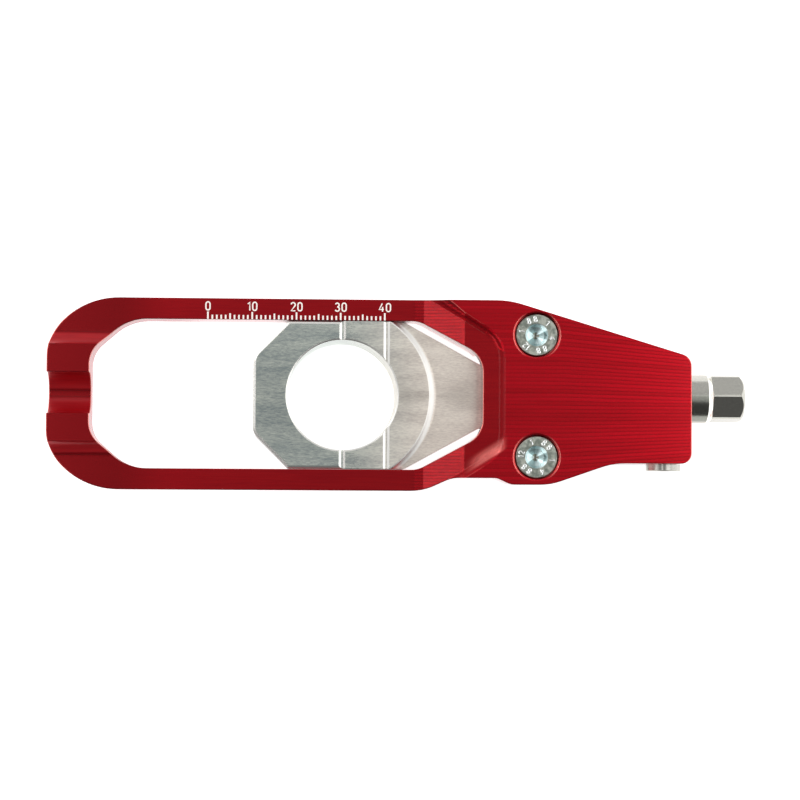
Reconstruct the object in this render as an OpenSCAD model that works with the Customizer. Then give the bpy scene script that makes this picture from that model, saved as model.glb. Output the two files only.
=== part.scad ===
// Chain adjuster for a motorcycle swingarm, lying on its back.
// X runs along the adjuster towards the hexagon, Z points out of the face that is seen on the machine.
// The origin is on the axle's centre line, in the plane that seats on the swingarm.

/* [Loop] */
// Distance from the axle's centre to the outer end of the loop
loop_reach = 66.4; // [64:0.1:72]
// Half the width of the loop over its two rails
loop_half_w = 21.65; // [21.2:0.05:24]
// Length that the loop's outer corners are cut back at 45 degrees
loop_corner = 8.65; // [8.4:0.05:9.5]
// Radius where a rail runs into its outer corner
corner_rail_r = 17.8; // [10:0.1:17.8]
// Radius where an outer corner runs into the loop's end
corner_end_r = 11.5; // [6:0.1:11.5]
// Thickness of the rails
rail_t = 8; // [7:0.1:8.6]
// Height of the plate and of the end boss above the seat
plate_h = 10; // [9.8:0.1:12]
// Half the width of the end boss on top
boss_half_w = 11; // [9:0.1:12]
// Radius of the cutter that leaves the boss's concave foot
boss_foot_r = 3.9; // [3:0.1:5]

/* [Slot] */
// Half the width of the slot between the rails
slot_half_w = 16.85; // [16:0.05:17.4]
// Distance from the axle's centre to the slot's outer end
slot_reach = 56.85; // [56:0.05:60]
// Length along X of the slanted corners at the slot's outer end
slot_corner_x = 8.65; // [8:0.05:10]
// Width along Y of the slanted corners at the slot's outer end
slot_corner_y = 7.5; // [7:0.05:8.5]
// Distance from the axle's centre to the slot's inner end
slot_inner = 31.8; // [31:0.1:33]
// Length of the slot's taper towards its inner end
slot_taper_x = 14.6; // [13.5:0.1:15.5]
// Width that each side loses along that taper
slot_taper_y = 7.9; // [7.5:0.1:8.4]
// Radius between the slot's outer end and its slanted corners
slot_end_r = 6.5; // [4:0.1:7]
// Radius between the slot's slanted corners and the rails
slot_corner_r = 11.3; // [6:0.1:11.5]
// Radius where the slot's taper begins
slot_taper_r = 6; // [4:0.1:7]
// Radius where the slot's taper ends
slot_inner_r = 6.2; // [4:0.1:6.5]
// Width of the channel across the end boss
channel_w = 9.3; // [7:0.1:11]
// Depth of the channel below the boss
channel_depth = 6.15; // [5:0.05:7]

/* [Plate] */
// Distance from the axle's centre to the end face beside the collar
plate_reach = 79.3; // [78.8:0.1:84]
// Half the width of the waist between the lower rail and the lower lobe
waist_y = 18.65; // [18.3:0.05:19.5]
// Where the lower rail's edge begins to step in to the waist
waist_start = 18.4; // [17:0.1:19]
// Where that step ends
waist_end = 24.9; // [24:0.1:26]
// Radius where the step to the waist begins
waist_start_r = 13; // [8:0.1:13.5]
// Radius where the step to the waist ends
waist_end_r = 8; // [5:0.1:9]
// Distance from the axis to the lower lobe's edge
lobe_y = 20.1; // [19.8:0.05:21]
// Where the edge begins to step out to the lobe
lobe_start = 35; // [34:0.1:36]
// Where that step ends
lobe_full = 38.1; // [37.5:0.1:39]
// Radius where the step to the lobe begins
lobe_start_r = 3; // [2:0.1:4]
// Radius where the step to the lobe ends
lobe_full_r = 4; // [2:0.1:5]
// Share of the plate past the front screws where the lobe's edge turns in
lobe_share = 0.09; // [0.07:0.01:0.12]
// Radius of that turn
lobe_end_r = 14; // [8:0.1:16]
// Share of the plate past the front screws where the lower edge is straight again
tail_share = 0.494; // [0.45:0.001:0.55]
// Radius where the lower edge is straight again
tail_r = 17; // [10:0.1:18]
// Distance from the axis to the lower edge that holds the retaining screw
tail_y = 15.15; // [13:0.05:16]
// Radius of the lower corner beside the collar
tail_corner_r = 2.4; // [1.5:0.1:3.5]
// Height of the upper corner beside the collar
nose_y = 9.1; // [8.5:0.1:10]
// Radius of the upper corner beside the collar
nose_corner_r = 2.8; // [1.5:0.1:3.5]
// Where the upper edge begins to slant
slant_x = 37.8; // [36:0.1:40]
// Radius where the upper edge begins to slant
slant_r = 20; // [10:0.5:24]
// Depth of the block behind the seat
block_depth = 6; // [5.5:0.1:7]
// Length along X of the block's cut lower corner
block_cut_x = 7.1; // [6:0.1:8]
// Length along Y of the block's cut lower corner
block_cut_y = 2.7; // [2:0.1:3]
// Chamfer on the block's upper corner
block_break = 0.5; // [0.3:0.1:0.6]
// Thickness of the back plate
back_t = 3; // [2:0.1:4]

/* [Run-out] */
// Where the rails begin to rise
ramp_x = 16.4; // [15:0.1:17]
// Length over which the rise begins gently
ramp_start = 2; // [1:0.1:3]
// Where the rise ends in a sharp ridge
ridge_x = 27.6; // [26.5:0.1:28.5]
// Depth of the pocket floor below the plate
floor_drop = 0.5; // [0.3:0.05:0.8]
// Distance from the axis to the pocket's foot at the ridge
ridge_foot_y = 16.7; // [16:0.1:17]
// Slant of the pocket's walls
wall_angle = 32; // [30:0.5:35]
// Where the pocket floor ends before the plate
floor_end = 35; // [34.4:0.1:35.4]
// Plan radius of the pocket's two corners
floor_corner_r = 6.2; // [4:0.1:7]
// Radius of the ball cutter that leaves the pocket's concave wall
wall_r = 3.5; // [3:0.1:4]

/* [Slider] */
// Diameter of the axle bore
axle_d = 25; // [20:0.1:27]
// Play between the slider and each rail
slider_play = 0.15; // [0.1:0.01:0.3]
// Distance from the axle's centre to the slider's outer end
slider_reach = 20.2; // [19:0.1:22]
// Length of the slider's cut corners
slider_corner = 8; // [7:0.1:9]
// Radius between the slider's outer end and its cut corners
slider_end_r = 3; // [1:0.1:4]
// Radius between the slider's cut corners and its sides
slider_side_r = 1; // [0.5:0.1:2]
// Radius of the raised disc round the axle
disc_r = 20; // [18:0.1:21]
// Drop from the disc to the tongue
tongue_drop = 2.5; // [2:0.1:3]
// Fillet at the foot of the disc
disc_foot_r = 1.4; // [0.8:0.1:1.6]
// Half the width of the tongue inside the block
tongue_half_w = 7; // [6.5:0.1:7.4]
// Room that the pocket leaves in front of the tongue
tongue_room = 4.5; // [4:0.1:8]
// Where the tongue's taper begins at the slider's full width
taper_x = 14.2; // [13.4:0.1:14.6]
// Slant of the tongue's taper
flank_angle = 28.9; // [28:0.1:30]
// Radius where the tongue's taper begins
tongue_side_r = 1.5; // [0.8:0.1:2]
// Radius where the tongue's taper ends
tongue_root_r = 5; // [3:0.1:6]
// Radius of the tongue's two end corners
tongue_end_r = 1; // [0.5:0.1:2]
// Widening of the pocket's mouth on each side of the tongue
mouth_spread = 2.3; // [2.2:0.1:2.6]
// Wall between the axle bore and the thread
thread_web = 1.8; // [1:0.1:3]
// Edge break round the slider's face
slider_break = 0.6; // [0.3:0.05:0.8]
// Distance between the two index grooves
index_pitch = 10; // [9:0.5:10.5]
// Width of an index groove
index_w = 1.35; // [0.8:0.05:1.6]
// Depth of an index groove
index_depth = 0.45; // [0.3:0.05:0.7]

/* [Adjuster screw] */
// Outside diameter of the thread and of the journal
thread_d = 8; // [6:0.5:8.5]
// Distance from the axle's centre to the screw's tip
tip_x = 18; // [17:0.1:24]
// Chamfer at the screw's tip
tip_break = 1; // [0.5:0.1:1.5]
// Length of the journal inside the end of the block
journal_l = 12.3; // [11:0.1:13]
// Depth of the groove round the journal
groove_depth = 1.4; // [1:0.1:1.8]
// Distance between the end face and the collar
collar_gap = 0.3; // [0.3:0.1:1]
// Diameter of the collar
collar_d = 11.2; // [10.6:0.1:12]
// Length of the collar with its cone
collar_l = 5.6; // [4.9:0.1:5.8]
// Chamfer on the collar's inner edge
collar_break = 0.5; // [0.2:0.1:0.8]
// Length of the cone between the collar and the hexagon
cone_l = 1; // [0.5:0.1:1.2]
// Width across the flats of the hexagon
hex_af = 10; // [9:0.1:10.4]
// Length of the hexagon
hex_l = 7.4; // [6:0.1:10]
// Chamfer round the hexagon's end
hex_break = 0.9; // [0.5:0.1:1.2]
// Turn of the hexagon in the photographed state
hex_turn = 7; // [0:1:30]

/* [Fasteners] */
// Distance from the axle's centre to the front screws
front_x = 44; // [43.4:0.1:46]
// Distance from the axis to each front screw
front_y = 13.85; // [13.6:0.05:14.2]
// Diameter of a front screw's thread
front_d = 6; // [5:0.5:6]
// Diameter of a front screw's head
front_head_d = 9.5; // [9:0.1:9.7]
// Height of a front screw's head
front_head_h = 4; // [3.4:0.1:4]
// Width across the flats of a front screw's socket
front_af = 4; // [3:0.1:4.4]
// Depth of a front screw's socket
front_socket = 2.3; // [1.5:0.1:2.6]
// Depth of a front screw's head below the plate
front_sink = 0.4; // [0.2:0.1:0.8]
// Distance from the end face to the retaining screw
keep_inset = 4.9; // [4.4:0.1:6]
// Diameter of the retaining screw's thread
keep_d = 5; // [4:0.5:5]
// Diameter of the retaining screw's head
keep_head_d = 8; // [6.5:0.1:8.4]
// Height of the retaining screw's head
keep_head_h = 1.6; // [1.2:0.1:2.2]
// Width across the flats of the retaining screw's socket
keep_af = 2.5; // [2:0.1:3]
// Depth of the retaining screw's socket
keep_socket = 1; // [0.6:0.1:1.2]
// Diameter of the retaining screw's point
keep_point_d = 3.1; // [2.5:0.1:3.2]

/* [Hidden] */
$fn = 96;
arc_step = 4;
overlap_angle = 2;
tool_step = 0.02;
foot_step = 0.1;
beyond = 1;
far = 30;
running_gap = 0.05;
tongue_gap = 0.15;
clearance = 0.4;
shoulder = 1;
socket_break = 1.2;
small_break = 0.3;
point_gap = 0.6;
slider_half_w = slot_half_w - slider_play;
tongue_top = rail_t - tongue_drop;
floor_z = plate_h - floor_drop;
block_x = slot_inner + shoulder;
back_z = -block_depth - back_t;
pocket_end = plate_reach - journal_l;
tongue_reach = pocket_end - tongue_room;
lobe_end = front_x + lobe_share * (plate_reach - front_x);
tail_start = front_x + tail_share * (plate_reach - front_x);
keep_x = plate_reach - keep_inset;
collar_x = plate_reach + collar_gap;
hex_x = collar_x + collar_l;

function flat(p) = [p.x, p.y];
function unit(v) = v / norm(v);
function span(turn) = turn > 180 ? turn - 360 : turn < -180 ? turn + 360 : turn;

// Points of the arc of radius r that rounds corner b between its neighbours a and c
function corner(a, b, c, r) = r <= 0 ? [b] :
    let (
        u = unit(a - b),
        w = unit(c - b),
        half = acos(u * w) / 2,
        mid = b + unit(u + w) * r / sin(half),
        first = b + u * r / tan(half) - mid,
        last = b + w * r / tan(half) - mid,
        from = atan2(first.y, first.x),
        sweep = span(atan2(last.y, last.x) - from),
        n = max(1, ceil(abs(sweep) / arc_step))
    ) [for (i = [0 : n]) mid + r * [cos(from + sweep * i / n), sin(from + sweep * i / n)]];

// Outline through corners that are given as [x, y, radius]
function rounded(c) = let (n = len(c)) [
    for (i = [0 : n - 1]) each corner(flat(c[(i + n - 1) % n]), flat(c[i]), flat(c[(i + 1) % n]), c[i].z)
];

// Both halves of an outline that is symmetric about the X axis, from its upper half
function both_sides(c) = concat(c, [for (i = [len(c) - 1 : -1 : 0]) [c[i].x, -c[i].y, c[i].z]]);

// Right part of the frame's edge, shared by the plate, the block behind it and the back plate
function right_edge() = [
    [lobe_end, -lobe_y, lobe_end_r],
    [tail_start, -tail_y, tail_r],
    [plate_reach, -tail_y, tail_corner_r],
    [plate_reach, nose_y, nose_corner_r],
    [slant_x, loop_half_w, slant_r],
];

function frame_outline() = rounded(concat(
    [
        [-loop_reach, loop_corner - loop_half_w, corner_end_r],
        [loop_corner - loop_reach, -loop_half_w, corner_rail_r],
        [waist_start, -loop_half_w, waist_start_r],
        [waist_end, -waist_y, waist_end_r],
        [lobe_start, -waist_y, lobe_start_r],
        [lobe_full, -lobe_y, lobe_full_r],
    ],
    right_edge(),
    [
        [loop_corner - loop_reach, loop_half_w, corner_rail_r],
        [-loop_reach, loop_half_w - loop_corner, corner_end_r],
    ]
));

function block_outline() = rounded(concat(
    [[block_x, block_cut_y - lobe_y, 0], [block_x + block_cut_x, -lobe_y, 0]],
    right_edge(),
    [[block_x + block_break, loop_half_w, 0], [block_x, loop_half_w - block_break, 0]]
));

function slot_outline() = rounded(both_sides([
    [slot_inner, slot_half_w - slot_taper_y, slot_inner_r],
    [slot_inner - slot_taper_x, slot_half_w, slot_taper_r],
    [slot_corner_x - slot_reach, slot_half_w, slot_corner_r],
    [-slot_reach, slot_half_w - slot_corner_y, slot_end_r],
]));

// Height of the pocket's corner centres above the axis, and where its slanted foot lines run
function foot_y(x, inset = 0) = ridge_foot_y - (x - ridge_x) * tan(wall_angle) - inset / cos(wall_angle);
function pocket_plan(inset) = rounded(both_sides([
    [floor_end - inset, foot_y(floor_end - inset, inset), floor_corner_r - inset],
    [ramp_x - beyond, foot_y(ramp_x - beyond, inset), 0],
]));
corner_y = foot_y(floor_end) - floor_corner_r * tan(45 - wall_angle / 2);
slant_end_x = floor_end - floor_corner_r * (1 - sin(wall_angle));
ramp_rise = (floor_z - rail_t) / (ridge_x - ramp_x - ramp_start / 2);
track_tilt = atan(ramp_rise * cos(wall_angle));
track_roll = atan(ramp_rise * sin(wall_angle) * cos(track_tilt));

module both_y() {
    children();
    mirror([0, 1, 0]) children();
}

module along_x(x, length) {
    translate([x, 0, 0]) rotate([90, 0, 90]) linear_extrude(length) children();
}

// Section that a ball cutter leaves beside its track, with the wall on the positive side
module ball_section(r) {
    translate([-beyond / 2, 0]) square([beyond / 2, r]);
    intersection() {
        translate([0, r]) circle(r);
        square(r);
    }
}

module wall_track(length) {
    along_x(0, length) ball_section(wall_r);
}

// Rails: everything above them outside the end boss, with the boss's concave foot
module rail_level() {
    foot = boss_half_w + sqrt((plate_h - rail_t) * (2 * boss_foot_r - plate_h + rail_t));
    both_y() along_x(-loop_reach - beyond, loop_reach + ramp_x + beyond) translate([foot, rail_t]) {
        square([far, far]);
        mirror([1, 0]) ball_section(boss_foot_r);
    }
}

// Run-out: ramp up to the ridge, then the pocket floor in front of the plate
module run_out() {
    intersection() {
        rotate([90, 0, 0]) linear_extrude(2 * far, center = true) polygon([
            [ramp_x - beyond, rail_t],
            [ramp_x, rail_t],
            [ramp_x + ramp_start, rail_t + ramp_rise * ramp_start / 2],
            [ridge_x, floor_z],
            [floor_end + beyond, floor_z],
            [floor_end + beyond, far],
            [ramp_x - beyond, far],
        ]);
        linear_extrude(far) polygon(pocket_plan(-foot_step));
    }
    both_y() {
        translate([ridge_x, ridge_foot_y, floor_z + tool_step]) rotate([0, 0, -wall_angle]) {
            translate([-beyond, 0, 0])
                wall_track((slant_end_x - ridge_x) / cos(wall_angle) + beyond + foot_step);
            rotate([track_roll, -track_tilt, 0]) mirror([1, 0, 0]) translate([-beyond, 0, 0])
                wall_track(ridge_x - ramp_x + 2 * beyond);
        }
        translate([floor_end - floor_corner_r, corner_y, floor_z + 2 * tool_step])
            rotate([0, 0, -overlap_angle]) rotate_extrude(angle = 90 - wall_angle + 2 * overlap_angle)
                translate([floor_corner_r - tool_step, 0]) ball_section(wall_r);
    }
    translate([floor_end, corner_y, floor_z + tool_step]) rotate([0, 0, -90]) wall_track(2 * corner_y);
}

// Channel across the end boss, round at its bottom
module end_channel() {
    z = plate_h - channel_depth + channel_w / 2;
    along_x(-loop_reach - beyond, loop_reach - slot_reach + 2 * slot_corner_x) {
        translate([0, z]) circle(d = channel_w);
        translate([-channel_w / 2, z]) square([channel_w, far]);
    }
}

module at_front_screws() {
    both_y() translate([front_x, front_y, 0]) children();
}

module front_holes() {
    seat_z = plate_h - front_sink - front_head_h;
    bore_r = front_head_d / 2 + small_break;
    at_front_screws() {
        translate([0, 0, -far]) cylinder(r = front_d / 2 + clearance / 2, h = 2 * far);
        translate([0, 0, seat_z]) cylinder(r = bore_r, h = far);
        translate([0, 0, plate_h - small_break])
            cylinder(r1 = bore_r, r2 = bore_r + beyond, h = beyond);
    }
}

// Pocket for the tongue, milled from the back, its mouth widened for the root of the tongue's taper
module tongue_pocket() {
    half_w = tongue_half_w + tongue_gap;
    translate([0, 0, -far]) linear_extrude(far + tongue_top + tongue_gap) polygon(rounded(both_sides([
        [slot_inner - slot_inner_r / 4, half_w + mouth_spread, 0],
        [slot_inner, half_w + mouth_spread, 0],
        [slot_inner + mouth_spread / tan(flank_angle), half_w, 0],
        [pocket_end, half_w, 0],
    ])));
}

module frame_body() {
    color("firebrick") difference() {
        union() {
            linear_extrude(plate_h) polygon(frame_outline());
            translate([0, 0, -block_depth]) linear_extrude(block_depth + beyond) polygon(block_outline());
        }
        translate([0, 0, -beyond]) linear_extrude(far) polygon(slot_outline());
        rail_level();
        run_out();
        end_channel();
        tongue_pocket();
        front_holes();
        translate([pocket_end - beyond, 0, 0]) rotate([0, 90, 0])
            cylinder(d = thread_d + 2 * running_gap, h = far);
        translate([keep_x, 0, 0]) rotate([90, 0, 0]) cylinder(d = keep_d + 2 * running_gap, h = far);
    }
}

module back_plate() {
    color("lightgray") translate([0, 0, back_z]) difference() {
        linear_extrude(back_t) polygon(block_outline());
        at_front_screws() translate([0, 0, -beyond]) cylinder(d = front_d, h = back_t + 2 * beyond);
    }
}

// Plan of the slider's block without the tongue, drawn in from its edge by inset
function slider_outline(inset) = rounded(both_sides([
    [disc_r, slider_half_w - inset, 0],
    [slider_corner - slider_reach + inset * tan(22.5), slider_half_w - inset, slider_side_r],
    [inset - slider_reach, slider_half_w - slider_corner - inset * tan(22.5), slider_end_r],
]));

function tongue_outline() = rounded(both_sides([
    [tongue_reach, tongue_half_w, tongue_end_r],
    [taper_x + (slider_half_w - tongue_half_w) / tan(flank_angle), tongue_half_w, tongue_root_r],
    [taper_x, slider_half_w, tongue_side_r],
    [0, slider_half_w, 0],
]));

// The slider's block with its upper edge broken all round
module slider_block() {
    translate([0, 0, back_z]) hull() {
        linear_extrude(rail_t - back_z - slider_break) polygon(slider_outline(0));
        linear_extrude(rail_t - back_z) polygon(slider_outline(slider_break));
    }
}

// Round boss with its broken edge and the fillet at its foot
module disc_boss() {
    rotate_extrude() {
        polygon([
            [0, back_z - beyond],
            [disc_r, back_z - beyond],
            [disc_r, rail_t - small_break],
            [disc_r - small_break - beyond, rail_t + beyond],
            [0, rail_t + beyond],
        ]);
        translate([0, tongue_top - beyond]) square([disc_r + disc_foot_r, beyond]);
        difference() {
            translate([0, tongue_top]) square([disc_r + disc_foot_r, disc_foot_r]);
            translate([disc_r + disc_foot_r, tongue_top + disc_foot_r]) circle(disc_foot_r);
        }
    }
}

module index_groove(x) {
    translate([x, 0, rail_t]) rotate([90, 0, 0]) linear_extrude(2 * far, center = true) polygon([
        [-index_w / 2 - index_depth, index_depth],
        [-index_w / 2 + index_depth, -index_depth],
        [index_w / 2 - index_depth, -index_depth],
        [index_w / 2 + index_depth, index_depth],
    ]);
}

module axle_slider() {
    tongue_low = -block_depth + tongue_gap;
    thread_end = axle_d / 2 + thread_web;
    color("silver") difference() {
        union() {
            intersection() {
                slider_block();
                union() {
                    disc_boss();
                    translate([-far, -far, back_z - beyond]) cube([far, 2 * far, 2 * far]);
                }
            }
            intersection() {
                translate([0, 0, tongue_low]) linear_extrude(rail_t - tongue_low) polygon(tongue_outline());
                union() {
                    disc_boss();
                    translate([0, -far, tongue_low - beyond])
                        cube([2 * tongue_reach, 2 * far, tongue_top - tongue_low + beyond]);
                }
            }
        }
        translate([0, 0, back_z - beyond]) cylinder(d = axle_d, h = far);
        translate([0, 0, rail_t - small_break])
            cylinder(r1 = axle_d / 2, r2 = axle_d / 2 + beyond, h = beyond);
        translate([0, 0, back_z - beyond + small_break])
            cylinder(r1 = axle_d / 2 + beyond, r2 = axle_d / 2, h = beyond);
        index_groove(0);
        index_groove(index_pitch);
        translate([thread_end, 0, 0]) rotate([0, 90, 0])
            cylinder(d = thread_d + 2 * running_gap, h = tongue_reach);
    }
}

// Turned length from x to x + length along the screw's axis
module turned(x, length, r, r_end = undef) {
    translate([x, 0, 0]) rotate([0, 90, 0])
        cylinder(r1 = r, r2 = is_undef(r_end) ? r : r_end, h = length);
}

module adjuster_screw() {
    thread_r = thread_d / 2;
    collar_r = collar_d / 2;
    waist_r = hex_af / 2;
    groove_w = keep_point_d + 2 * tongue_gap;
    color("gainsboro") {
        difference() {
            union() {
                turned(tip_x, tip_break, thread_r - tip_break, thread_r);
                turned(tip_x + tip_break, collar_x - tip_x, thread_r);
                turned(collar_x, collar_break, collar_r - collar_break, collar_r);
                turned(collar_x + collar_break, collar_l - collar_break - cone_l, collar_r);
                turned(hex_x - cone_l, cone_l, collar_r, waist_r);
            }
            difference() {
                turned(keep_x - groove_w / 2, groove_w, thread_r + beyond);
                turned(keep_x - groove_w, 2 * groove_w, thread_r - groove_depth);
            }
        }
        intersection() {
            turned(hex_x, hex_l, 2 * waist_r / sqrt(3));
            translate([hex_x - beyond, 0, 0]) rotate([0, 90, 0]) rotate([0, 0, -hex_turn])
                cylinder(r = 2 * waist_r / sqrt(3), h = hex_l + 2 * beyond, $fn = 6);
            union() {
                turned(hex_x, hex_l - hex_break, collar_r);
                turned(hex_x + hex_l - hex_break, hex_break, collar_r, collar_r - hex_break);
            }
        }
    }
}

module socket_head(r, height, socket_af, socket_depth) {
    difference() {
        union() {
            cylinder(r = r, h = height - small_break / 2);
            translate([0, 0, height - small_break / 2])
                cylinder(r1 = r, r2 = r - small_break / 2, h = small_break / 2);
        }
        translate([0, 0, height - socket_depth]) cylinder(d = 2 * socket_af / sqrt(3), h = far, $fn = 6);
        translate([0, 0, height - socket_break / 2])
            cylinder(d1 = socket_af, d2 = socket_af + 2 * socket_break, h = socket_break);
        translate([0, 0, height - socket_depth - socket_af / 4])
            cylinder(r1 = 0, r2 = socket_af / 2, h = socket_af / 4 + small_break / 10);
    }
}

module front_screws() {
    seat_z = plate_h - front_sink - front_head_h;
    color("gray") at_front_screws() {
        translate([0, 0, seat_z]) socket_head(front_head_d / 2, front_head_h, front_af, front_socket);
        translate([0, 0, back_z]) cylinder(r = front_d / 2 - running_gap, h = seat_z - back_z);
    }
}

module retaining_screw() {
    point_end = thread_d / 2 - groove_depth + small_break;
    point_root = thread_d / 2 + point_gap;
    color("gray") translate([keep_x, 0, 0]) rotate([90, 0, 0]) {
        translate([0, 0, tail_y]) socket_head(keep_head_d / 2, keep_head_h, keep_af, keep_socket);
        translate([0, 0, point_root]) cylinder(d = keep_d, h = tail_y - point_root);
        translate([0, 0, point_end]) cylinder(d = keep_point_d, h = point_root - point_end);
    }
}

frame_body();
back_plate();
axle_slider();
adjuster_screw();
front_screws();
retaining_screw();
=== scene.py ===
import math
import bpy
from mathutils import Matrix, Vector


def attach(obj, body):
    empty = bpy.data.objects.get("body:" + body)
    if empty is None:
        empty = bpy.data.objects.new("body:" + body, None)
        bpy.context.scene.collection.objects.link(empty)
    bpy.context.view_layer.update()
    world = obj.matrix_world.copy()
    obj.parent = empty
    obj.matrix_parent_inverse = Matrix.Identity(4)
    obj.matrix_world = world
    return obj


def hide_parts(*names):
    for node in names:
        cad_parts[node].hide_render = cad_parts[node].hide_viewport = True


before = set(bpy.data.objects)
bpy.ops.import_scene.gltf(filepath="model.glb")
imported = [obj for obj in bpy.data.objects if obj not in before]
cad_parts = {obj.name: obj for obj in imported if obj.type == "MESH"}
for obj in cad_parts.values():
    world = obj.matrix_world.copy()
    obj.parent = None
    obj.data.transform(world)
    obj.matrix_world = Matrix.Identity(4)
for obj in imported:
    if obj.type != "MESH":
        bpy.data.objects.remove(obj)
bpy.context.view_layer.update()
MM = 0.001

# Studio. The adjuster lies on its back on a white sweep, and the lens looks down on it from almost straight
# above. Soft boxes stand to its left, to its right and beyond its upper edge, and the zone round the lens
# stays dark, so that flat faces read deep and the broken edges catch light.
FLOOR_Z = -9.0 * MM
FLOOR_SIZE = 6.0
PAPER_WHITE = 0.80
PAPER_GLOW = 0.86
CAMERA_AT = (-12.895 * MM, -23.795 * MM, 527.844 * MM)
CAMERA_TURN = (2.48367, -2.87172, 0.31438)
LENS_MM = 103.5
SENSOR_MM = 36.0
AIR_DARK = 0.12
AIR_BRIGHT = 0.68
AIR_RISE = (-0.55, 0.75)
ENDS_BRIGHT = 0.90
ENDS_RISE = (0.50, 0.85)
SOFT_BOXES = [
    # name, place, point that it faces, size, power in watts
    ("key_box", (-0.46, 0.27, 0.50), (0.02, 0.0, 0.0), (0.30, 0.30), 0.45),
    ("low_box", (-0.44, -0.30, 0.52), (0.02, 0.0, 0.0), (0.16, 0.16), 0.12),
    ("right_panel", (0.36, 0.02, 0.62), (0.06, 0.0, 0.0), (0.34, 0.40), 0.50),
    ("left_panel", (-0.44, 0.0, 2.00), (0.02, 0.0, 0.0), (0.20, 1.00), 1.05),
]


def deselect():
    bpy.ops.object.select_all(action="DESELECT")


def aim(lamp, target):
    """Turn a lamp so that it faces a point, with its width along X."""
    way = Vector(target) - lamp.location
    lamp.rotation_euler = way.to_track_quat("-Z", "X").to_euler()


def node(tree, kind, feeds=None, **settings):
    """Add a node, set its own settings, and feed its sockets with values or with other nodes' outputs."""
    made = tree.nodes.new(kind)
    for key, value in settings.items():
        setattr(made, key, value)
    for key, value in (feeds or {}).items():
        if isinstance(value, bpy.types.NodeSocket):
            tree.links.new(value, made.inputs[key])
        else:
            made.inputs[key].default_value = value
    return made


def sums(tree, operation, *values, clamp=False):
    """One step of arithmetic on values or outputs."""
    feeds = {i: v for i, v in enumerate(values)}
    return node(tree, "ShaderNodeMath", feeds, operation=operation, use_clamp=clamp).outputs[0]


def band(tree, value, low, high, out_low=0.0, out_high=1.0):
    """Smooth step of a value between two limits, which may be given in falling order."""
    return node(tree, "ShaderNodeMapRange", {"Value": value, "From Min": low, "From Max": high,
                                             "To Min": out_low, "To Max": out_high},
                interpolation_type="SMOOTHSTEP").outputs["Result"]


def parts_of(tree, vector):
    """A vector's X, Y and Z."""
    return node(tree, "ShaderNodeSeparateXYZ", {0: vector}).outputs


for label, place, target, size, power in SOFT_BOXES:
    deselect()
    bpy.ops.object.light_add(type="AREA", location=place)
    soft_box = bpy.context.object
    soft_box.name = label
    soft_box.data.shape = "RECTANGLE"
    soft_box.data.size, soft_box.data.size_y = size
    soft_box.data.energy = power
    aim(soft_box, target)

world = bpy.data.worlds.new("studio_air")
bpy.context.scene.world = world
world.use_nodes = True
tree = world.node_tree
way = parts_of(tree, node(tree, "ShaderNodeTexCoord").outputs["Generated"])
air = band(tree, way["Y"], *AIR_RISE, AIR_DARK, AIR_BRIGHT)
ends = band(tree, sums(tree, "ABSOLUTE", way["X"]), *ENDS_RISE, 0.0, ENDS_BRIGHT)
tree.links.new(sums(tree, "ADD", air, ends), tree.nodes["Background"].inputs["Strength"])
tree.nodes["Background"].inputs["Color"].default_value = (1.0, 1.0, 1.0, 1.0)

deselect()
bpy.ops.mesh.primitive_plane_add(size=FLOOR_SIZE, location=(0.0, 0.0, FLOOR_Z))
floor = bpy.context.object
floor.name = "white_sweep"
paper = bpy.data.materials.new("white_paper")
paper.use_nodes = True
tree = paper.node_tree
tree.nodes.clear()
path = node(tree, "ShaderNodeLightPath").outputs
seen = sums(tree, "ADD", path["Is Camera Ray"], path["Is Glossy Ray"], clamp=True)
glow = node(tree, "ShaderNodeEmission", {"Strength": sums(tree, "MULTIPLY", seen, PAPER_GLOW)})
matt = node(tree, "ShaderNodeBsdfDiffuse", {"Color": (PAPER_WHITE, PAPER_WHITE, PAPER_WHITE, 1.0)})
both = node(tree, "ShaderNodeAddShader", {0: matt.outputs[0], 1: glow.outputs[0]})
node(tree, "ShaderNodeOutputMaterial", {"Surface": both.outputs[0]})
floor.data.materials.append(paper)

camera_data = bpy.data.cameras.new("lens")
camera_data.lens = LENS_MM
camera_data.sensor_width = SENSOR_MM
camera = bpy.data.objects.new("lens", camera_data)
bpy.context.scene.collection.objects.link(camera)
camera.location = CAMERA_AT
camera.rotation_euler = [math.radians(a) for a in CAMERA_TURN]
bpy.context.scene.camera = camera
bpy.context.scene.view_settings.view_transform = "Standard"

# Frame. Billet aluminium, milled all over and anodised red. The plate keeps the fine rows of the finishing
# cutter, the ramps keep finer ones and the rails are smoother. The broken edges across X carry a painted
# highlight, a pale line that glows a little, and the wall of the pocket's lower corner a painted highlight.
RED = "e00420"
DEEP_RED = "c40016"
LINE_RED = "8c0010"
RAIL_RED = "c20a18"
DULL_RED = "ac0014"
BOSS_RED = "92000c"
HIGHLIGHT_RED = "ff9a90"
BLACK = "000000"
EDGE_ROUND = 0.34
EDGE_GLINT = 0.35

# Rows: their pitch, waver and depth in millimetres, and how the plate's draw together past a place
ROW_PITCH = 0.90
ROW_WAVER = 0.45
ROW_DEPTH = 0.007
ROW_ORIGIN = 3.0
ROW_WANDER = (45.0, 420.0, 0.0)
ROW_OWN_TONE = 0.35
ROWS_DRAW_IN = 5.8
ROWS_DRAW_FROM = 50.0
RAMP_PITCH = 0.72
RAMP_WAVER = 0.30
STREAKS = (50.0, 420.0, 420.0)

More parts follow.
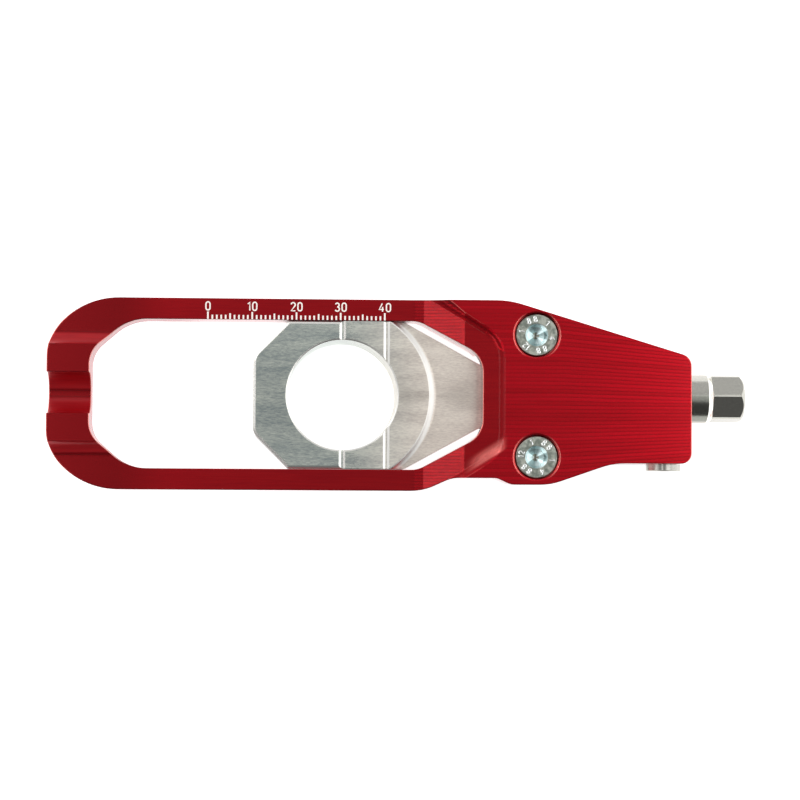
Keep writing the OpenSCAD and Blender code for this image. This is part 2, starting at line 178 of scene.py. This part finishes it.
# Zones, each as the stretch in millimetres over which it comes or goes
PLATE_TOP = (9.75, 9.95)
PLATE_FROM = (20.0, 24.0)
RAMP_FROM = (15.0, 17.0)
RAMP_TO = (26.4, 27.2)
RUN_OUT_FROM = (33.0, 33.8)
RUN_OUT_TO = (36.5, 37.5)
RUN_OUT_HALF_W = (10.5, 12.5)
RUN_OUT_OFF = 1.0
CORNER_FROM = (31.9, 32.2)
CORNER_TO = (37.0, 37.8)
CORNER_HALF_W = (8.6, 9.4)
LINES_GROW = (25.0, 75.0)
BOSS_TO = (-52.0, -36.0)
BOSS_FOOT_TO = (-40.0, -30.0)

# The pocket's slanting foot, and the painted highlight on the wall beyond its lower end
RIDGE_X = 27.6
RIDGE_FOOT_Y = 16.7
WALL_ANGLE = 32.0
SWEEP_INNER = (-2.4, -0.4)
SWEEP_OUTER = (0.8, 1.6)
SWEEP_FROM = (27.0, 32.0)
SWEEP_TO = (35.6, 37.6)
SWEEP_WAY = (-0.7, 0.7, 0.2)
UP = (0.0, 0.0, 1.0)


def hexed(code):
    """A colour as it is written in sRGB, turned to the linear values that the shader takes."""
    parts = [int(code[i:i + 2], 16) / 255.0 for i in (0, 2, 4)]
    return (*[p / 12.92 if p <= 0.04045 else ((p + 0.055) / 1.055) ** 2.4 for p in parts], 1.0)


def noise(tree, vector, scale, detail=2.0, rough=0.5):
    return node(tree, "ShaderNodeTexNoise", {"Vector": vector, "Scale": scale, "Detail": detail,
                                             "Roughness": rough}).outputs["Fac"]


def scaled(tree, vector, factors):
    return node(tree, "ShaderNodeVectorMath", {0: vector, 1: factors}, operation="MULTIPLY").outputs[0]


def length_of(tree, vector):
    return node(tree, "ShaderNodeVectorMath", {0: vector}, operation="LENGTH").outputs["Value"]


def times(tree, *masks):
    """Masks multiplied together."""
    product = masks[0]
    for mask in masks[1:]:
        product = sums(tree, "MULTIPLY", product, mask)
    return product


def without(tree, mask):
    return sums(tree, "SUBTRACT", 1.0, mask)


def rising(tree, value, span):
    """A mask that rises from 0 to 1 over a span in millimetres."""
    return band(tree, value, span[0] * MM, span[1] * MM)


def falling(tree, value, span):
    """A mask that falls from 1 to 0 over a span in millimetres."""
    return band(tree, value, span[1] * MM, span[0] * MM)


def size_of(tree, value):
    return sums(tree, "ABSOLUTE", value)


def blended(tree, factor, first, second):
    """A colour between two others, each a written colour or an output."""
    mix = node(tree, "ShaderNodeMix", data_type="RGBA")
    for socket, value in ((mix.inputs[0], factor), (mix.inputs[6], first), (mix.inputs[7], second)):
        if isinstance(value, bpy.types.NodeSocket):
            tree.links.new(value, socket)
        else:
            socket.default_value = hexed(value)
    return mix.outputs[2]


def leant(tree, factor, normal, way):
    """A normal leant some of the way towards a direction."""
    return node(tree, "ShaderNodeMix", {0: factor, 4: normal, 5: way}, data_type="VECTOR").outputs[1]


def rounded_normal(tree, radius):
    """The surface's normal with its edges rounded, to a radius in millimetres."""
    return node(tree, "ShaderNodeBevel", {"Radius": radius * MM}, samples=6).outputs[0]


def bumped(tree, height, normal, depth):
    """A normal that follows a height, whose full step is a depth in millimetres."""
    feeds = {"Height": height, "Normal": normal, "Distance": depth * MM, "Strength": 1.0}
    return node(tree, "ShaderNodeBump", feeds).outputs[0]


def new_group(name, inputs, outputs):
    """A shader node group with its named inputs and outputs."""
    tree = bpy.data.node_groups.new(name, "ShaderNodeTree")
    for label, kind, value in inputs:
        socket = tree.interface.new_socket(name=label, in_out="INPUT", socket_type=kind)
        if value is not None:
            socket.default_value = value
    for label, kind in outputs:
        tree.interface.new_socket(name=label, in_out="OUTPUT", socket_type=kind)
    return tree, node(tree, "NodeGroupInput").outputs, node(tree, "NodeGroupOutput")


def use(tree, group, **feeds):
    """Place a group in a material and feed its inputs by name."""
    made = tree.nodes.new("ShaderNodeGroup")
    made.node_tree = group
    for key, value in feeds.items():
        label = key.replace("_", " ")
        if isinstance(value, bpy.types.NodeSocket):
            tree.links.new(value, made.inputs[label])
        else:
            made.inputs[label].default_value = value
    return made.outputs


def cutter_rows_group():
    """Rows that a finishing cutter leaves along X: lands of differing tone with thin lines between them."""
    tree, given, out = new_group("cutter_rows", [
        ("Coordinates", "NodeSocketVector", None),
        ("Pitch", "NodeSocketFloat", ROW_PITCH * MM),
        ("Waver", "NodeSocketFloat", ROW_WAVER * MM),
        ("Draw In", "NodeSocketFloat", 0.0),
        ("Draw From", "NodeSocketFloat", 0.0),
    ], [("Height", "NodeSocketFloat"), ("Tone", "NodeSocketFloat"), ("Line", "NodeSocketFloat")])
    place = given["Coordinates"]
    axes = parts_of(tree, place)
    wander = noise(tree, scaled(tree, place, ROW_WANDER), 1.0, 3.0)
    shift = times(tree, sums(tree, "SUBTRACT", wander, 0.5), given["Waver"])
    past = sums(tree, "MAXIMUM", sums(tree, "SUBTRACT", axes["X"], given["Draw From"]), 0.0)
    width = without(tree, times(tree, past, given["Draw In"]))
    across = sums(tree, "DIVIDE", sums(tree, "ADD", axes["Y"], ROW_ORIGIN * MM), width)
    row = sums(tree, "DIVIDE", sums(tree, "ADD", across, shift), given["Pitch"])
    from_middle = size_of(tree, sums(tree, "MULTIPLY_ADD", sums(tree, "FRACT", row), 2.0, -1.0))
    land = node(tree, "ShaderNodeTexWhiteNoise", {"W": sums(tree, "FLOOR", row)}, noise_dimensions="1D")
    drift = node(tree, "ShaderNodeCombineXYZ", {"X": sums(tree, "MULTIPLY", axes["X"], 60.0),
                                                "Y": sums(tree, "MULTIPLY", row, 0.9)})
    stray = noise(tree, drift.outputs[0], 1.0, 3.0, 0.6)
    own = sums(tree, "MULTIPLY", land.outputs["Value"], ROW_OWN_TONE)
    tree.links.new(without(tree, times(tree, from_middle, from_middle)), out.inputs["Height"])
    tree.links.new(band(tree, from_middle, 0.45, 1.0), out.inputs["Line"])
    tree.links.new(sums(tree, "MULTIPLY_ADD", stray, 1.0 - ROW_OWN_TONE, own), out.inputs["Tone"])
    return tree


def brushed_grain_group():
    """Brushed grain: short fine scratches that all run one way, over broad soft streaks."""
    tree, given, out = new_group("brushed_grain", [
        ("Coordinates", "NodeSocketVector", None),
        ("Along", "NodeSocketFloat", 250.0),
        ("Across", "NodeSocketFloat", 6000.0),
    ], [("Height", "NodeSocketFloat"), ("Tone", "NodeSocketFloat")])
    stretch = node(tree, "ShaderNodeCombineXYZ", {"X": given["Along"], "Y": given["Across"],
                                                  "Z": given["Across"]})
    fine = noise(tree, scaled(tree, given["Coordinates"], stretch.outputs[0]), 1.0, 4.0, 0.65)
    streaks = noise(tree, scaled(tree, given["Coordinates"], STREAKS), 1.0, 3.0, 0.5)
    tone = sums(tree, "ADD", sums(tree, "MULTIPLY", fine, 0.6), sums(tree, "MULTIPLY", streaks, 0.4))
    tree.links.new(fine, out.inputs["Height"])
    tree.links.new(tone, out.inputs["Tone"])
    return tree


def edge_line_group():
    """Painted edge highlight mask: edges across X, by how far and which way the rounded normal leans off the
    true one.
    """
    tree, given, out = new_group("painted_edge_highlight", [("Rounded", "NodeSocketVector", None)],
                                 [("Across X", "NodeSocketFloat")])
    true = node(tree, "ShaderNodeNewGeometry").outputs["Normal"]
    alike = node(tree, "ShaderNodeVectorMath", {0: given["Rounded"], 1: true}, operation="DOT_PRODUCT")
    lean = node(tree, "ShaderNodeVectorMath", {0: given["Rounded"], 1: true}, operation="SUBTRACT")
    lean = node(tree, "ShaderNodeVectorMath", {0: lean.outputs[0]}, operation="NORMALIZE")
    highlit_edge = band(tree, alike.outputs["Value"], 0.998, 0.93)
    sideways = size_of(tree, parts_of(tree, lean.outputs[0])["X"])
    tree.links.new(times(tree, highlit_edge, band(tree, sideways, 0.35, 0.75)), out.inputs["Across X"])
    return tree


CUTTER_ROWS = cutter_rows_group()
BRUSHED_GRAIN = brushed_grain_group()
PAINTED_EDGE_HIGHLIGHT = edge_line_group()


def metal(name, **set_up):
    """A bare metal: its material, tree and shader inputs, and its Object coordinates."""
    made = bpy.data.materials.new(name)
    made.use_nodes = True
    tree = made.node_tree
    given = tree.nodes["Principled BSDF"].inputs
    given["Metallic"].default_value = 1.0
    for key, value in set_up.items():
        given[key.replace("_", " ")].default_value = value
    return made, tree, given, node(tree, "ShaderNodeTexCoord").outputs["Object"]


def dress(name, material):
    """Give a node of the frame its finish."""
    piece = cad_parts[name]
    piece.data.materials.clear()
    piece.data.materials.append(material)


def red_anodising():
    """Red dye under a clear skin, over the rows and the grain of milling."""
    made, tree, given, place = metal("red_anodised_mill", Coat_Roughness=0.12)
    axes = parts_of(tree, place)
    facing = parts_of(tree, node(tree, "ShaderNodeNewGeometry").outputs["Normal"])["Z"]
    rounded = rounded_normal(tree, EDGE_ROUND)
    level = band(tree, facing, 0.95, 0.995)
    plate_end = rising(tree, axes["X"], PLATE_FROM)
    on_plate = times(tree, rising(tree, axes["Z"], PLATE_TOP), plate_end)
    on_ramp = times(tree, without(tree, on_plate), rising(tree, axes["X"], RAMP_FROM),
                    falling(tree, axes["X"], RAMP_TO))

    # The relief of milling: broad rows on the plate, fine rows on the ramps, a faint grain everywhere
    rows = use(tree, CUTTER_ROWS, Coordinates=place, Draw_In=ROWS_DRAW_IN, Draw_From=ROWS_DRAW_FROM * MM)
    ramp_rows = use(tree, CUTTER_ROWS, Coordinates=place, Pitch=RAMP_PITCH * MM, Waver=RAMP_WAVER * MM)
    grain = use(tree, BRUSHED_GRAIN, Coordinates=place, Along=120.0, Across=2500.0)
    ramp_height = times(tree, ramp_rows["Height"], on_ramp)
    height = sums(tree, "MULTIPLY_ADD", ramp_height, 0.9, times(tree, rows["Height"], on_plate))
    height = sums(tree, "MULTIPLY_ADD", grain["Height"], 0.25, height)

    # The pocket: its run-out stays flat, its two small corners get no painted edge highlight, its walls
    # catch the lamps
    off_middle = size_of(tree, sums(tree, "ADD", axes["Y"], RUN_OUT_OFF * MM))
    run_out = times(tree, rising(tree, axes["X"], RUN_OUT_FROM), falling(tree, axes["X"], RUN_OUT_TO),
                    falling(tree, off_middle, RUN_OUT_HALF_W))
    corners = times(tree, rising(tree, axes["X"], CORNER_FROM), falling(tree, axes["X"], CORNER_TO),
                    rising(tree, size_of(tree, axes["Y"]), CORNER_HALF_W))
    # The pale line on edges across X is a painted highlight, in the base colour and as a glow
    edge_highlight_mask = times(tree, use(tree, PAINTED_EDGE_HIGHLIGHT, Rounded=rounded)["Across X"],
                 without(tree, sums(tree, "MAXIMUM", run_out, corners)))
    sloping = times(tree, band(tree, facing, 0.97, 0.90), band(tree, facing, 0.15, 0.30), plate_end)
    laid = sums(tree, "MAXIMUM", run_out, sums(tree, "MULTIPLY", sloping, 0.55))
    normal = leant(tree, laid, rounded, UP)

    # A painted highlight on the wall where the ball cutter turned the pocket's lower corner: pale colour and
    # a leant normal
    past_ridge = sums(tree, "SUBTRACT", axes["X"], RIDGE_X * MM)
    foot = sums(tree, "MULTIPLY_ADD", past_ridge, -math.tan(math.radians(WALL_ANGLE)), RIDGE_FOOT_Y * MM)
    past_foot = sums(tree, "SUBTRACT", sums(tree, "MULTIPLY", axes["Y"], -1.0), foot)
    swept_highlight = times(tree, rising(tree, past_foot, SWEEP_INNER), falling(tree, past_foot, SWEEP_OUTER),
                  rising(tree, axes["X"], SWEEP_FROM), falling(tree, axes["X"], SWEEP_TO),
                  band(tree, facing, 0.1, 0.3))
    normal = leant(tree, sums(tree, "MULTIPLY", swept_highlight, 0.30), normal, SWEEP_WAY)
    tree.links.new(bumped(tree, height, normal, ROW_DEPTH), given["Normal"])

    # Colour: plate, rails, ramps and boss, then painted highlights on the corner's wall and, glowing, on the
    # edges
    plate_red = blended(tree, band(tree, rows["Tone"], 0.15, 0.85), DEEP_RED, RED)
    lines = band(tree, axes["X"], LINES_GROW[0] * MM, LINES_GROW[1] * MM, 0.20, 0.60)
    plate_red = blended(tree, times(tree, rows["Line"], lines), plate_red, LINE_RED)
    rail_red = blended(tree, band(tree, grain["Tone"], 0.3, 0.7), RAIL_RED, DULL_RED)
    body_red = blended(tree, on_plate, rail_red, plate_red)
    ramp_line = times(tree, ramp_rows["Line"], on_ramp, 0.75)
    body_red = blended(tree, ramp_line, body_red, LINE_RED)
    body_red = blended(tree, times(tree, level, falling(tree, axes["X"], BOSS_TO)), body_red, BOSS_RED)
    body_red = blended(tree, times(tree, swept_highlight, 0.45), body_red, HIGHLIGHT_RED)
    tree.links.new(blended(tree, times(tree, edge_highlight_mask, 0.9), body_red, HIGHLIGHT_RED), given["Base Color"])
    tree.links.new(blended(tree, edge_highlight_mask, BLACK, HIGHLIGHT_RED), given["Emission Color"])
    given["Emission Strength"].default_value = EDGE_GLINT

    # Sheen: the boss's foot is matter than the rest, and upright walls have more of the clear skin
    boss_foot = times(tree, without(tree, level), falling(tree, axes["X"], BOSS_FOOT_TO))
    shade = sums(tree, "MULTIPLY_ADD", grain["Tone"], 0.12, 0.17)
    upright = band(tree, size_of(tree, facing), 0.4, 0.1)
    tree.links.new(sums(tree, "MULTIPLY_ADD", boss_foot, 0.28, shade), given["Roughness"])
    tree.links.new(sums(tree, "MULTIPLY_ADD", boss_foot, -0.45, 0.95), given["Metallic"])
    tree.links.new(sums(tree, "MULTIPLY_ADD", upright, 0.35, 0.35), given["Coat Weight"])
    return made


dress("frame_body", red_anodising())

# Slider and back plate. Plain aluminium, the slider ground along its length and broken at its edges, which
# get a painted highlight. Painted light makes it darker and cooler at its outer end and lighter and warmer
# towards the tongue, and its upright sides are rougher and painted darker as shade.
COOL_SHADED = ("a0aeb0", "eef4e8")
WARM_LIT = ("d8ccc2", "fff6ea")
SHADED_SIDES = ("868c8c", "a8aca8")
EDGE_HIGHLIGHT_WHITE = "fffdf8"
SLIDER_ROUND = 0.25
SCRATCH_DEPTH = 0.006
AXLE_EDGE = (13.0, 13.4)
LIGHT_RISES_OVER = (-5.0, 22.0)


def bare_aluminium():
    """Ground aluminium, with a painted highlight on its broken edges, and painted light and shade."""
    made, tree, given, place = metal("brushed_aluminium", Anisotropic=0.4)
    grain = use(tree, BRUSHED_GRAIN, Coordinates=place, Along=900.0, Across=3800.0)
    rounded = rounded_normal(tree, SLIDER_ROUND)
    leaning = parts_of(tree, rounded)["Z"]
    highlit_edge = times(tree, band(tree, leaning, 0.99, 0.93), band(tree, leaning, 0.15, 0.40))
    normal = leant(tree, times(tree, highlit_edge, 0.60), rounded, UP)
    tree.links.new(bumped(tree, grain["Height"], normal, SCRATCH_DEPTH), given["Normal"])

    # Painted light and shade: darker and cooler at the outer end, lighter and warmer to the tongue, darker
    # sides
    lit_to_tongue = rising(tree, parts_of(tree, place)["X"], LIGHT_RISES_OVER)
    from_axle = length_of(tree, scaled(tree, place, (1.0, 1.0, 0.0)))
    shaded_sides = times(tree, band(tree, size_of(tree, leaning), 0.35, 0.12), rising(tree, from_axle, AXLE_EDGE))
    tone = band(tree, grain["Tone"], 0.26, 0.74)
    bare = blended(tree, lit_to_tongue, blended(tree, tone, *COOL_SHADED), blended(tree, tone, *WARM_LIT))
    bare = blended(tree, shaded_sides, bare, blended(tree, tone, *SHADED_SIDES))
    # The broken edges are painted near white, a painted highlight
    tree.links.new(blended(tree, highlit_edge, bare, EDGE_HIGHLIGHT_WHITE), given["Base Color"])

    shade = sums(tree, "MULTIPLY_ADD", grain["Tone"], 0.15, 0.17)
    shade = sums(tree, "MULTIPLY_ADD", lit_to_tongue, 0.16, shade)
    tree.links.new(sums(tree, "MULTIPLY_ADD", shaded_sides, 0.15, shade), given["Roughness"])
    return made


ground = bare_aluminium()
dress("axle_slider", ground)
dress("back_plate", ground)

# Adjuster screw and retaining screw. Turned steel, bright plated. The collar's lower half is painted darker,
# a painted reflection of the dark side of a room, and the narrow cone before the hexagon has a glowing
# painted highlight.
STEEL = ("b0b0a8", "d2d0c8")
SHADED_STEEL = ("74766e", "a4a69e")
CONE_HIGHLIGHT_WHITE = "f4f2ec"
CONE_LIGHT = "f4f4ee"
SCREW_ROUND = 0.15
SPECK_DEPTH = 0.004
COLLAR_FROM = (79.3, 79.5)
COLLAR_TO = (84.0, 84.2)
CONE_FROM = (84.1, 84.25)
CONE_TO = (85.1, 85.25)
CONE_GLINT = 0.55


def bright_plating():
    """Bright plating with the faintest specks."""
    made, tree, given, place = metal("bright_plated_steel")
    speck = noise(tree, place, 2600.0, 3.0, 0.6)
    rounded = rounded_normal(tree, SCREW_ROUND)
    along = parts_of(tree, place)["X"]
    upwards = parts_of(tree, rounded)["Y"]
    # The collar's lower half gets a painted reflection as shade, the cone a painted white highlight that
    # glows
    on_collar = times(tree, rising(tree, along, COLLAR_FROM), falling(tree, along, COLLAR_TO))
    shaded = times(tree, on_collar, band(tree, upwards, 0.22, 0.02), band(tree, upwards, -0.98, -0.90))
    on_cone = times(tree, rising(tree, along, CONE_FROM), falling(tree, along, CONE_TO))
    lit = times(tree, on_cone, band(tree, upwards, 0.75, 0.35, 0.25, 1.0))
    steel = blended(tree, shaded, blended(tree, speck, *STEEL), blended(tree, speck, *SHADED_STEEL))
    tree.links.new(blended(tree, lit, steel, CONE_HIGHLIGHT_WHITE), given["Base Color"])
    tree.links.new(blended(tree, lit, BLACK, CONE_LIGHT), given["Emission Color"])
    given["Emission Strength"].default_value = CONE_GLINT
    tree.links.new(sums(tree, "MULTIPLY_ADD", speck, 0.12, 0.16), given["Roughness"])
    tree.links.new(bumped(tree, speck, rounded, SPECK_DEPTH), given["Normal"])
    return made


plated = bright_plating()
dress("adjuster_screw", plated)
dress("retaining_screw", plated)

# Front screws. Two socket screws of zinc plated steel: mottled grey heads, and sockets painted with light
# and shade:
# their facets and floor painted bluish and glowing in three sectors, round a middle painted dark as shade.
SCREW_X = 44.0
SCREW_Y = 13.85
ZINC = ("8e968c", "ced2c6")
SOCKET_LIGHT_AND_SHADE = ("849a9a", "e4f6f6")
SOCKET_SHADE = "8c867a"
SOCKET_LIGHT = "dcf2f4"
ZINC_DEPTH = 0.012
SOCKET_EDGE = (2.48, 2.66)
SOCKET_MIDDLE = (0.65, 0.95)
SOCKET_SECTORS = 3.0
SOCKET_GLINT = 0.5


def zinc_plating():
    """Mottled zinc plating, with painted light and shade in the sockets."""
    made, tree, given, place = metal("zinc_plated_steel")
    speck = noise(tree, place, 1500.0, 4.0, 0.65)
    mottle = band(tree, noise(tree, place, 900.0, 3.0, 0.6), 0.35, 0.65)
    axes = parts_of(tree, place)
    along = sums(tree, "SUBTRACT", axes["X"], SCREW_X * MM)
    across = sums(tree, "SUBTRACT", size_of(tree, axes["Y"]), SCREW_Y * MM)
    from_axis = length_of(tree, node(tree, "ShaderNodeCombineXYZ", {"X": along, "Y": across}).outputs[0])
    in_socket = falling(tree, from_axis, SOCKET_EDGE)
    # Painted light in three sectors of each socket, with a glow, and painted shade in its middle
    turn = sums(tree, "MULTIPLY", sums(tree, "ARCTAN2", across, along), SOCKET_SECTORS)
    facet_light = band(tree, sums(tree, "COSINE", turn), 0.7, -0.5, 0.25, 1.0)
    sideways = parts_of(tree, node(tree, "ShaderNodeNewGeometry").outputs["Normal"])["X"]
    gleam = times(tree, in_socket, band(tree, size_of(tree, sideways), 0.12, 0.40),
                  band(tree, facet_light, 0.25, 0.75))
    shaded_middle = falling(tree, from_axis, SOCKET_MIDDLE)
    inside = blended(tree, shaded_middle, blended(tree, facet_light, *SOCKET_LIGHT_AND_SHADE), SOCKET_SHADE)
    head = blended(tree, mottle, *ZINC)
    tree.links.new(blended(tree, in_socket, head, inside), given["Base Color"])
    tree.links.new(blended(tree, gleam, BLACK, SOCKET_LIGHT), given["Emission Color"])
    given["Emission Strength"].default_value = SOCKET_GLINT
    tree.links.new(sums(tree, "MULTIPLY_ADD", speck, 0.25, 0.20), given["Roughness"])
    tree.links.new(bumped(tree, speck, rounded_normal(tree, SCREW_ROUND), ZINC_DEPTH), given["Normal"])
    return made


dress("front_screws", zinc_plating())

# Thread. The adjuster screw is a rolled M8 thread of 1.25 mm pitch, from its tip to the journal in the
# block's end. It takes the place of the plain cylinder, and the journal, the collar and the hexagon stay
# as they were turned.
THREAD_PITCH = 1.25
THREAD_START = 18.0
THREAD_END = 66.0
THREAD_STEPS = 32
ROOT_R = 3.33
CREST_R = 3.97
FLANK_FROM = 0.25
CREST_FROM = 0.67
CREST_TO = 0.83
THREAD_SECTION = [(0.0, ROOT_R), (FLANK_FROM, ROOT_R), (CREST_FROM, CREST_R), (CREST_TO, CREST_R),
                  (THREAD_PITCH, ROOT_R)]
WELD = 0.001


def pick(piece):
    """Select one piece alone and make it the active one."""
    deselect()
    piece.select_set(True)
    bpy.context.view_layer.objects.active = piece


def line_mesh(points, depth=0.0, resolution=0):
    """A poly line through points in millimetres, turned into a mesh."""
    curve = bpy.data.curves.new("line", "CURVE")
    curve.dimensions = "3D"
    curve.bevel_depth = depth * MM
    curve.bevel_resolution = resolution
    curve.use_fill_caps = depth > 0.0
    path = curve.splines.new("POLY")
    path.points.add(len(points) - 1)
    for spot, (x, y) in zip(path.points, points):
        spot.co = (x * MM, y * MM, 0.0, 1.0)
    line = bpy.data.objects.new("line", curve)
    bpy.context.scene.collection.objects.link(line)
    pick(line)
    bpy.ops.object.convert(target="MESH")
    return bpy.context.object


def cut_at(piece, x, keep_above):
    """Cut a piece square to X, drop one side and close the cut."""
    pick(piece)
    bpy.ops.object.mode_set(mode="EDIT")
    bpy.ops.mesh.select_all(action="SELECT")
    bpy.ops.mesh.bisect(plane_co=(x * MM, 0.0, 0.0), plane_no=(1.0, 0.0, 0.0), use_fill=True,
                        clear_inner=keep_above, clear_outer=not keep_above)
    bpy.ops.object.mode_set(mode="OBJECT")


def joined(pieces):
    """Several pieces as one mesh."""
    deselect()
    for piece in pieces:
        piece.select_set(True)
    bpy.context.view_layer.objects.active = pieces[0]
    bpy.ops.object.join()
    return bpy.context.object


def finished(piece, name, material, body):
    """Name a piece, give it its finish, and let it ride its body."""
    piece.name = name
    piece.data.name = name
    piece.data.materials.clear()
    piece.data.materials.append(material)
    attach(piece, body)
    return piece


thread = line_mesh([(THREAD_START - THREAD_PITCH + x, r) for x, r in THREAD_SECTION])
coil = thread.modifiers.new("coil", "SCREW")
coil.axis = "X"
coil.screw_offset = THREAD_PITCH * MM
coil.iterations = math.ceil((THREAD_END - THREAD_START) / THREAD_PITCH) + 2
coil.steps = THREAD_STEPS
coil.render_steps = THREAD_STEPS
coil.use_smooth_shade = False
bpy.ops.object.modifier_apply(modifier="coil")
bpy.ops.object.mode_set(mode="EDIT")
bpy.ops.mesh.select_all(action="SELECT")
bpy.ops.mesh.remove_doubles(threshold=WELD * MM)
bpy.ops.mesh.normals_make_consistent(inside=False)
bpy.ops.object.mode_set(mode="OBJECT")
cut_at(thread, THREAD_START, keep_above=True)
cut_at(thread, THREAD_END, keep_above=False)

pick(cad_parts["adjuster_screw"])
bpy.ops.object.duplicate()
shank = bpy.context.object
cut_at(shank, THREAD_END, keep_above=True)
screw = finished(joined([thread, shank]), "adjuster_screw_threaded", plated, "screw")
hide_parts("adjuster_screw")

# Scale. Marks engraved through the red into the bare metal of the upper rail, one a millimetre, with longer
# ones at every fifth and tenth, and a figure over every tenth. A round-nosed cutter drew them.
SCALE_START = -30.5
SCALE_LENGTH = 40
SCALE_FOOT = 16.95
RAIL_TOP = 8.0
MARK_W = 0.38
MARK_T = 0.04
MARK_TOPS = {10: 18.60, 5: 18.25, 1: 17.90}
NUMERAL_H = 1.85
NUMERAL_W = 0.31
NUMERAL_FOOT = 18.95
NUMERAL_GAP = 0.61
ENGRAVED = ("e6e2dc", "fbf8f4")
ENGRAVED_LIGHT = "fff8ee"
ENGRAVED_GLOW = 0.35


def arc(x, y, across, up, start, end, steps=10):
    """Points on part of an ellipse, angles in degrees."""
    turns = [math.radians(start + (end - start) * i / steps) for i in range(steps + 1)]
    return [(x + across * math.cos(a), y + up * math.sin(a)) for a in turns]


# Each figure's width and its strokes, in a box one unit high
FIGURES = {
    "0": (0.50, [arc(0.25, 0.72, 0.25, 0.28, 0, 180) + arc(0.25, 0.28, 0.25, 0.28, 180, 360)
                 + [(0.50, 0.72)]]),
    "1": (0.26, [[(0.0, 0.78), (0.24, 1.0), (0.24, 0.0)]]),
    "2": (0.50, [arc(0.25, 0.74, 0.25, 0.26, 170, -30) + [(0.0, 0.0), (0.52, 0.0)]]),
    "3": (0.50, [arc(0.24, 0.76, 0.22, 0.24, 160, -90), arc(0.24, 0.26, 0.26, 0.26, 90, -160)]),
    "4": (0.56, [[(0.38, 1.0), (0.0, 0.26), (0.56, 0.26)], [(0.42, 0.58), (0.42, 0.0)]]),
    "8": (0.50, [arc(0.25, 0.75, 0.21, 0.25, 0, 360, 16), arc(0.25, 0.26, 0.25, 0.26, 0, 360, 16)]),
    ".": (0.05, [[(0.0, 0.0), (0.05, 0.0)]]),
}


def stroke(points, width, thick, height):
    """One engraved or raised line, round at its ends and flattened to its thickness, in millimetres."""
    line = line_mesh(points, width / 2, 3)
    line.scale = (1.0, 1.0, thick / width)
    line.location = (0.0, 0.0, height * MM)
    bpy.ops.object.transform_apply(location=True, rotation=False, scale=True)
    return line


def figure_strokes(words, tall, gap):
    """Strokes of a few figures side by side, centred on X = 0 with their foot on Y = 0."""
    lines, x = [], 0.0
    for letter in words:
        wide, paths = FIGURES[letter]
        lines += [[(x + px * tall, py * tall) for px, py in points] for points in paths]
        x += wide * tall + gap
    half = (x - gap) / 2
    return [[(px - half, py) for px, py in points] for points in lines]


def engraved_white():
    """The pale floor of an engraved line, with a weak painted glow."""
    made, tree, given, place = metal("engraved_white", Metallic=0.0, Roughness=0.6)
    tree.links.new(blended(tree, noise(tree, place, 3000.0), *ENGRAVED), given["Base Color"])
    # A weak painted glow
    given["Emission Color"].default_value = hexed(ENGRAVED_LIGHT)
    given["Emission Strength"].default_value = ENGRAVED_GLOW
    return made


marks = []
for step in range(SCALE_LENGTH + 1):
    top = next(top for every, top in MARK_TOPS.items() if step % every == 0)
    x = SCALE_START + step
    marks.append(stroke([(x, SCALE_FOOT), (x, top)], MARK_W, MARK_T, RAIL_TOP))
for step in range(0, SCALE_LENGTH + 1, 10):
    for points in figure_strokes(str(step), NUMERAL_H, NUMERAL_GAP):
        shifted = [(px + SCALE_START + step, py + NUMERAL_FOOT) for px, py in points]
        marks.append(stroke(shifted, NUMERAL_W, MARK_T, RAIL_TOP))
finished(joined(marks), "scale_marks", engraved_white(), "frame")

# Head marks. Figures for strength and size stand proud of the two socket screws' heads, as they are forged,
# in a ring round the socket. Their tops are brighter than the zinc round them and have a weak painted glow.
HEAD_TOP = 9.6
HEAD_RING_R = 3.55
HEAD_FIGURE_H = 1.25
HEAD_FIGURE_GAP = 0.42
HEAD_LINE_W = 0.34
HEAD_LINE_T = 0.30
HEAD_FIGURES = ("8.8", "1", "12", "8.8", "4", "1")
HEAD_TURNS = {"head_marks_upper": (1, 18.0), "head_marks_lower": (-1, -40.0)}
CREST_WHITES = ("eef4f2", "ffffff")
CREST_GLOW_LIGHT = "f6fbfa"
CREST_GLOW = 0.22


def rubbed_zinc():
    """Bright zinc plating on what stands proud, with a weak painted glow."""
    made, tree, given, place = metal("zinc_plated_crests")
    crest_mottle = noise(tree, place, 2200.0)
    tree.links.new(blended(tree, crest_mottle, *CREST_WHITES), given["Base Color"])
    tree.links.new(sums(tree, "MULTIPLY_ADD", crest_mottle, 0.10, 0.12), given["Roughness"])
    given["Emission Color"].default_value = hexed(CREST_GLOW_LIGHT)
    given["Emission Strength"].default_value = CREST_GLOW
    return made


def turned_points(points, angle, x, y):
    """Points turned round the origin and then moved."""
    c, s = math.cos(angle), math.sin(angle)
    return [(x + c * px - s * py, y + s * px + c * py) for px, py in points]


crests = rubbed_zinc()
for name, (side, start) in HEAD_TURNS.items():
    marks = []
    for k, words in enumerate(HEAD_FIGURES):
        angle = math.radians(start + 360.0 / len(HEAD_FIGURES) * k)
        for points in figure_strokes(words, HEAD_FIGURE_H, HEAD_FIGURE_GAP):
            points = [(px, py + HEAD_RING_R - HEAD_FIGURE_H / 2) for px, py in points]
            ringed = turned_points(points, angle, SCREW_X, side * SCREW_Y)
            marks.append(stroke(ringed, HEAD_LINE_W, HEAD_LINE_T, HEAD_TOP))
    finished(joined(marks), name, crests, "frame")
